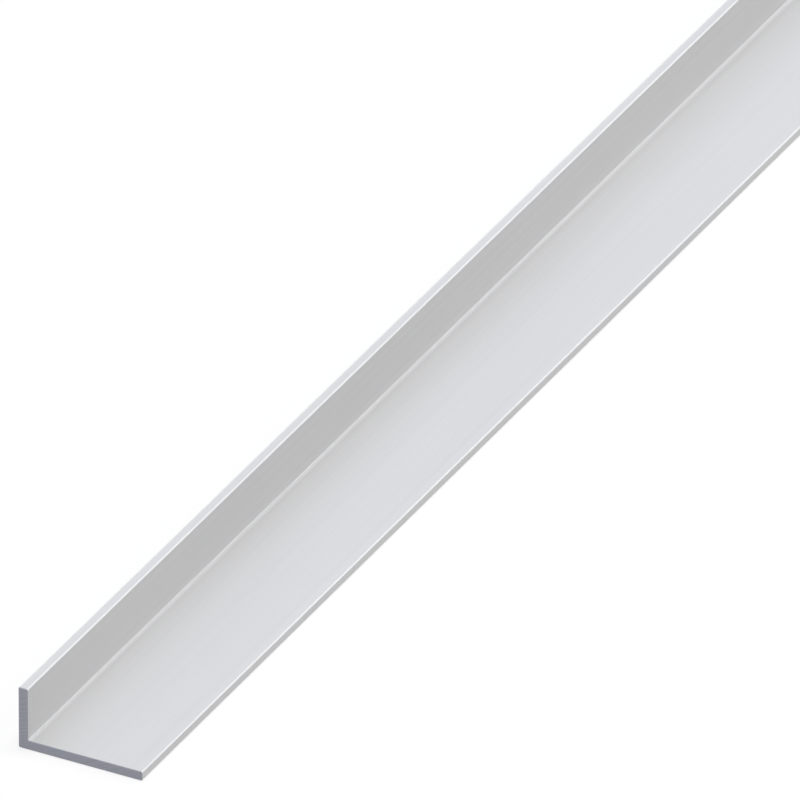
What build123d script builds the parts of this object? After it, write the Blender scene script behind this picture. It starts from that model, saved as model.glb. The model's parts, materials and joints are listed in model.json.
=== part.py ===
from build123d import *
import os

# Metal angle section: one length of extruded aluminium stock with legs of unequal width.
# Sizes are in millimetres.
# The wide leg lies flat on the floor and the short leg stands up along its left edge.
# +X runs across the wide leg from the heel to the toe, +Y along the length, +Z up.
# The origin is the middle of the underside.

# Size of the stock: wide leg by short leg by wall, and the length that it is sold in
wide_leg = 40.0
short_leg = 20.0
wall = 3.0
stock_length = 1000.0

# Corners that the extrusion die leaves along the whole length
outer_corner_radius = 0.5
root_radius = 0.5

# Chamfer that breaks the sharp edge all round each sawn end
end_break = 0.15

# Places that follow from the sizes above
heel_x = -wide_leg / 2
toe_x = wide_leg / 2
inner_face_x = heel_x + wall


def section_outline():
    """The L-shaped section, drawn across the length, each corner with its own radius."""
    corners = [
        ((heel_x, 0), outer_corner_radius),
        ((toe_x, 0), outer_corner_radius),
        ((toe_x, wall), outer_corner_radius),
        ((inner_face_x, wall), root_radius),
        ((inner_face_x, short_leg), outer_corner_radius),
        ((heel_x, short_leg), outer_corner_radius),
    ]
    points = [point for point, radius in corners]
    radii = [radius for point, radius in corners]
    with BuildSketch(Plane.XZ) as section:
        with BuildLine():
            FilletPolyline(points, radius=radii, close=True)
        make_face()
    return section.sketch


def break_sawn_ends(bar):
    """Take the sharp edge off the outline of both ends."""
    sawn_ends = bar.faces().filter_by(Axis.Y)
    return chamfer(sawn_ends.edges(), length=end_break)


def angle_section():
    """The section extruded half its length each way from the middle, then sawn square."""
    bar = extrude(section_outline(), amount=stock_length / 2, both=True)
    return break_sawn_ends(bar)


pieces = {"angle_section": angle_section()}

os.makedirs("parts", exist_ok=True)
for node, piece in pieces.items():
    piece.label = node
    export_step(piece, f"parts/{node}.step")
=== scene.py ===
import json
import math
import bpy
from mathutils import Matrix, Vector


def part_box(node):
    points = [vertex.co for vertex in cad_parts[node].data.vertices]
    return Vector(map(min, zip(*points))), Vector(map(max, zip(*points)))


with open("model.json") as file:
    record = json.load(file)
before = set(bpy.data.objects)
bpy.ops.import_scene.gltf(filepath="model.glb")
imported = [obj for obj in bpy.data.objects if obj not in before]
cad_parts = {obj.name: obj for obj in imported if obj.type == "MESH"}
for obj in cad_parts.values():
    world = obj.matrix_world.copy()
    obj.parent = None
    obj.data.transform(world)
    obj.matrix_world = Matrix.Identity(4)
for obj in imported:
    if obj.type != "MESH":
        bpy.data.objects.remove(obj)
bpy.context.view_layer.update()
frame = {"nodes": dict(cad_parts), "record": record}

# One length of satin anodised aluminium angle, lying on a white floor.
# +X runs from the heel to the toe of the wide leg, +Y along the length and +Z up, in metres.
MM = 0.001
MICRON = 0.000001

angle = frame["nodes"]["angle_section"]
low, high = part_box("angle_section")
stock_length = high.y - low.y
mounts = {mount["name"]: Vector(mount["pos_m"]) for mount in frame["record"]["mounts"]}
wide_leg_top = mounts["wide_leg_inside"].z
short_leg_inside = mounts["short_leg_inside"].x

# Where the photo is taken from, in degrees and metres, and the point in the middle of it
photo_azimuth = 27.76
photo_elevation = 30.85
photo_distance = 9.68
photo_centre = Vector((-11.3 * MM, -282.7 * MM, wide_leg_top))


def add(tree, kind, inputs=None, **settings):
    """Add a node. Each input is given by name or number, as a value or as the socket that feeds it."""
    node = tree.nodes.new(kind)
    for name, value in settings.items():
        setattr(node, name, value)
    for name, value in (inputs or {}).items():
        if isinstance(value, bpy.types.NodeSocket):
            tree.links.new(value, node.inputs[name])
        else:
            node.inputs[name].default_value = value
    return node


def calc(tree, operation, first, second=0.0, third=0.0):
    """A Math node's result."""
    return add(tree, "ShaderNodeMath", {0: first, 1: second, 2: third}, operation=operation).outputs[0]


def vector(tree, operation, first, second=(0, 0, 0), result="Vector"):
    """A Vector Math node's result."""
    return add(tree, "ShaderNodeVectorMath", {0: first, 1: second}, operation=operation).outputs[result]


def remap(tree, value, from_low, from_high, to_low, to_high):
    """Value moved from one range to another, and held inside it."""
    ranges = {
        "Value": value,
        "From Min": from_low,
        "From Max": from_high,
        "To Min": to_low,
        "To Max": to_high,
    }
    return add(tree, "ShaderNodeMapRange", ranges).outputs["Result"]


def blend(tree, factor, first, second):
    """First at a factor of 0, second at 1."""
    return add(tree, "ShaderNodeMix", {"Factor": factor, "A": first, "B": second}).outputs["Result"]


def blend_colour(tree, factor, first, second):
    """First colour at a factor of 0, second at 1."""
    sockets = {"Fac": factor}
    for name, colour in (("Color1", first), ("Color2", second)):
        sockets[name] = colour if isinstance(colour, bpy.types.NodeSocket) else (*colour, 1)
    return add(tree, "ShaderNodeMixRGB", sockets).outputs["Color"]


def layered(tree, layers, start=0.0):
    """Start, with each layer times its strength added to it."""
    total = start
    for layer, strength in layers:
        total = calc(tree, "MULTIPLY_ADD", layer, strength, total)
    return total


def noise(tree, position, across, along, detail=2.0, roughness=0.5):
    """Noise from 0 to 1, with one size across the section and another along the length."""
    place = vector(tree, "MULTIPLY", position, (1 / across, 1 / along, 1 / across))
    inputs = {"Vector": place, "Scale": 1.0, "Detail": detail, "Roughness": roughness}
    return add(tree, "ShaderNodeTexNoise", inputs).outputs["Fac"]


def sawn_ends(tree, position):
    """1 on the sawn ends and on the broken edge round each of them, 0 on the sides."""
    end_break = 0.15 * MM
    along = add(tree, "ShaderNodeSeparateXYZ", {0: position}).outputs["Y"]
    return calc(tree, "GREATER_THAN", calc(tree, "ABSOLUTE", along), high.y - end_break)


def outer_edges(tree, position):
    """1 on the rounded outer corners, where the colour is lighter, partly from wear that rubs the satin
    finish bright and partly as a painted highlight, and 0 on the flat sides.
    """
    wear_and_highlight_from, wear_and_highlight_to = 0.62 * MM, 0.30 * MM
    unevenness = 0.3 * MM
    middle_noise = 0.5
    corners = (
        (low.x, low.z),
        (high.x, low.z),
        (high.x, wide_leg_top),
        (short_leg_inside, high.z),
        (low.x, high.z),
    )
    section = vector(tree, "MULTIPLY", position, (1, 0, 1))
    nearest = stock_length
    for x, z in corners:
        nearest = calc(tree, "MINIMUM", nearest, vector(tree, "DISTANCE", section, (x, 0, z), "Value"))
    patches = noise(tree, position, across=1.5 * MM, along=12 * MM, detail=4.0, roughness=0.6)
    patches = calc(tree, "SUBTRACT", patches, middle_noise)
    reach = calc(tree, "MULTIPLY_ADD", patches, unevenness, nearest)
    return remap(tree, reach, wear_and_highlight_from, wear_and_highlight_to, 0, 1)


def painted_root_highlight(tree, position):
    """1 on the wide leg right beside the root, where a painted highlight lightens the colour and lifts the
    shade there, and 0 away from it.
    """
    # Distances from the short leg
    begins, brightest, ends = 0.25 * MM, 0.55 * MM, 1.6 * MM
    place = add(tree, "ShaderNodeSeparateXYZ", {0: position}).outputs
    distance = calc(tree, "SUBTRACT", place["X"], short_leg_inside)
    rise = remap(tree, distance, begins, brightest, 0, 1)
    fall = remap(tree, distance, brightest, ends, 1, 0)
    on_top = calc(tree, "GREATER_THAN", place["Z"], wide_leg_top / 2)
    return calc(tree, "MULTIPLY", calc(tree, "MULTIPLY", rise, fall), on_top)


def saw_marks(tree, position):
    """0 to 1 across the uneven arcs that the saw blade left on the ends."""
    blade_centre = (-60 * MM, 0, 130 * MM)
    pitch = 0.45 * MM
    waver = 1.5
    low_noise, high_noise = 0.3, 0.7
    section = vector(tree, "MULTIPLY", position, (1, 0, 1))
    radius = vector(tree, "DISTANCE", section, blade_centre, "Value")
    drift = calc(tree, "MULTIPLY", noise(tree, position, across=6 * MM, along=6 * MM), waver)
    turns = calc(tree, "MULTIPLY_ADD", radius, 1 / pitch, drift)
    inputs = {"W": turns, "Scale": 1.0, "Detail": 3.0, "Roughness": 0.6}
    arcs = add(tree, "ShaderNodeTexNoise", inputs, noise_dimensions="1D").outputs["Fac"]
    return remap(tree, arcs, low_noise, high_noise, 0, 1)


def anodised_aluminium():
    """Satin anodised aluminium with straight die lines along it, and bare sawn ends, whose darker, bluish
    colour is painted shade.
    """
    side_colour = (0.66, 0.66, 0.665)
    # The edge colour is lighter from wear and from a painted highlight
    worn_and_highlight_edge_colour = (0.77, 0.77, 0.78)
    # The root colour is a painted highlight
    root_highlight_colour = (0.82, 0.82, 0.83)
    # The end colours are painted shade: darker and bluer than bare aluminium
    shaded_end_light = (0.52, 0.53, 0.61)
    shaded_end_dark = (0.40, 0.41, 0.475)
    side_metallic, end_metallic = 0.42, 0.35
    low_noise, high_noise = 0.35, 0.65
    broad_share = 0.5
    smooth_line, rough_line, rubbed = 0.40, 0.52, 0.42
    smooth_arc, rough_arc = 0.5, 0.6
    fine_tone, broad_tone, cloud_tone = 0.18, 0.12, 0.08
    fine_depth, broad_depth, grain_depth, arc_depth = 12.0, 20.0, 5.0, 16.0

    material = bpy.data.materials.new("anodised_aluminium")
    material.use_nodes = True
    tree = material.node_tree
    shader = tree.nodes["Principled BSDF"]
    position = add(tree, "ShaderNodeTexCoord").outputs["Object"]
    sawn = sawn_ends(tree, position)
    edges = outer_edges(tree, position)
    root = painted_root_highlight(tree, position)
    marks = saw_marks(tree, position)

    fine_lines = noise(tree, position, across=0.3 * MM, along=500 * MM, detail=4.0, roughness=0.7)
    broad_lines = noise(tree, position, across=3 * MM, along=1500 * MM, detail=3.0, roughness=0.6)
    clouds = noise(tree, position, across=30 * MM, along=160 * MM, detail=3.0)
    grain = noise(tree, position, across=0.12 * MM, along=0.12 * MM)

    tones = ((fine_lines, fine_tone), (broad_lines, broad_tone), (clouds, cloud_tone))
    tone = layered(tree, tones, start=1 - (fine_tone + broad_tone + cloud_tone) / 2)
    # Outer edges lighter, partly from wear and partly as a painted highlight
    side = blend_colour(tree, edges, side_colour, worn_and_highlight_edge_colour)
    # Painted highlight beside the root, which also lifts the shade there
    side = blend_colour(tree, root, side, root_highlight_colour)
    side = add(tree, "ShaderNodeVectorMath", {0: side, "Scale": tone}, operation="SCALE").outputs[0]
    # Sawn ends in painted shade, with the saw arcs in two tones
    end = blend_colour(tree, marks, shaded_end_dark, shaded_end_light)
    tree.links.new(blend_colour(tree, sawn, side, end), shader.inputs["Base Color"])

    lines = blend(tree, broad_share, fine_lines, broad_lines)
    side_roughness = remap(tree, lines, low_noise, high_noise, smooth_line, rough_line)
    side_roughness = blend(tree, edges, side_roughness, rubbed)
    end_roughness = blend(tree, marks, smooth_arc, rough_arc)
    tree.links.new(blend(tree, sawn, side_roughness, end_roughness), shader.inputs["Roughness"])
    tree.links.new(blend(tree, sawn, side_metallic, end_metallic), shader.inputs["Metallic"])

    # Depths and heights are in microns
    reliefs = ((fine_lines, fine_depth), (broad_lines, broad_depth), (grain, grain_depth))
    side_height = layered(tree, reliefs)
    end_height = calc(tree, "MULTIPLY", marks, arc_depth)
    height = blend(tree, sawn, side_height, end_height)
    bump = add(tree, "ShaderNodeBump", {"Height": height, "Distance": MICRON, "Strength": 1.0})
    tree.links.new(bump.outputs["Normal"], shader.inputs["Normal"])
    return material


def white_share(tree):
    """1 for a ray from the camera, in a reflection or through glass, and 0 for one that only lights."""
    path = add(tree, "ShaderNodeLightPath").outputs
    share = calc(tree, "MAXIMUM", path["Is Camera Ray"], path["Is Glossy Ray"])
    return calc(tree, "MAXIMUM", share, path["Is Transmission Ray"])


def white_world():
    """Plain soft light from all round, and pure white behind the object."""
    light_level = 0.31
    world = bpy.data.worlds.new("white_studio")
    bpy.context.scene.world = world
    world.use_nodes = True
    tree = world.node_tree
    background = tree.nodes["Background"]
    background.inputs["Color"].default_value = (1, 1, 1, 1)
    tree.links.new(blend(tree, white_share(tree), light_level, 1.0), background.inputs["Strength"])


def white_floor():
    """A level white floor that takes the object's shadow, and glows more where the lamps fade."""
    size = 60.0
    paper_colour = (0.3, 0.3, 0.3, 1)
    near, far = 0.8, 2.5
    near_glow, far_glow = 0.7, 1.0

    material = bpy.data.materials.new("white_floor")
    material.use_nodes = True
    tree = material.node_tree
    tree.nodes.remove(tree.nodes["Principled BSDF"])
    position = add(tree, "ShaderNodeTexCoord").outputs["Object"]
    reach = vector(tree, "LENGTH", position, result="Value")
    glow_here = remap(tree, reach, near, far, near_glow, far_glow)
    strength = calc(tree, "MULTIPLY", white_share(tree), glow_here)
    glow = add(tree, "ShaderNodeEmission", {"Strength": strength}).outputs[0]
    paper = add(tree, "ShaderNodeBsdfDiffuse", {"Color": paper_colour}).outputs[0]
    surface = add(tree, "ShaderNodeAddShader", {0: paper, 1: glow}).outputs[0]
    tree.links.new(surface, tree.nodes["Material Output"].inputs["Surface"])

    bpy.ops.mesh.primitive_plane_add(size=size, location=(0, 0, low.z))
    floor = bpy.context.object
    floor.name = "floor"
    floor.data.materials.append(material)


def towards(azimuth, elevation):
    """A direction from the object. Azimuth 0 is towards -Y and 90 towards +X, in degrees."""
    azimuth, elevation = math.radians(azimuth), math.radians(elevation)
    level = math.cos(elevation)
    return Vector((math.sin(azimuth) * level, -math.cos(azimuth) * level, math.sin(elevation)))


def softbox(name, way, size, power, colour=(1, 1, 1), mirrored=True):
    """A square lamp that faces the photo's centre. The metal mirrors it, or is only lit by it."""
    distance = 6.0
    data = bpy.data.lights.new(name, "AREA")
    data.size = size
    data.energy = power
    data.color = colour
    lamp = bpy.data.objects.new(name, data)
    bpy.context.scene.collection.objects.link(lamp)
    lamp.location = photo_centre + way * distance
    lamp.rotation_mode = "QUATERNION"
    lamp.rotation_quaternion = way.to_track_quat("Z", "Y")
    lamp.visible_camera = False
    lamp.visible_glossy = mirrored


def photo_camera():
    """The photo's camera: a very long lens, so that lines along the bar stay nearly parallel."""
    data = bpy.data.cameras.new("photo_camera")
    data.sensor_width = 36.0
    data.lens = 1500.0
    data.clip_start = 0.1
    data.clip_end = 100.0
    camera = bpy.data.objects.new("photo_camera", data)
    bpy.context.scene.collection.objects.link(camera)
    back = towards(photo_azimuth, photo_elevation)
    camera.location = photo_centre + back * photo_distance
    camera.rotation_mode = "QUATERNION"
    camera.rotation_quaternion = (-back).to_track_quat("-Z", "Y")
    bpy.context.scene.camera = camera


angle.material_slots[0].material = anodised_aluminium()
white_world()
white_floor()
softbox("overhead", towards(azimuth=0, elevation=90), size=3.0, power=233, mirrored=False)

# The rounded edges mirror this place towards the photo's camera. Only a part of its light is mirrored,
# so that the flat tops don't turn white in a view where they mirror it.
behind_right = towards(azimuth=145.5, elevation=23.5)
softbox("behind_right", behind_right, size=4.5, power=50)
softbox("behind_right_fill", behind_right, size=4.5, power=140, mirrored=False)

# The flat tops mirror this place towards the photo's camera. It is dim and blue, like a patch of sky.
behind_left = towards(photo_azimuth + 180, photo_elevation)
softbox("behind_left", behind_left, size=4.0, power=9.5, colour=(0.66, 1.0, 1.5))

photo_camera()
bpy.context.scene.view_settings.view_transform = "Standard"
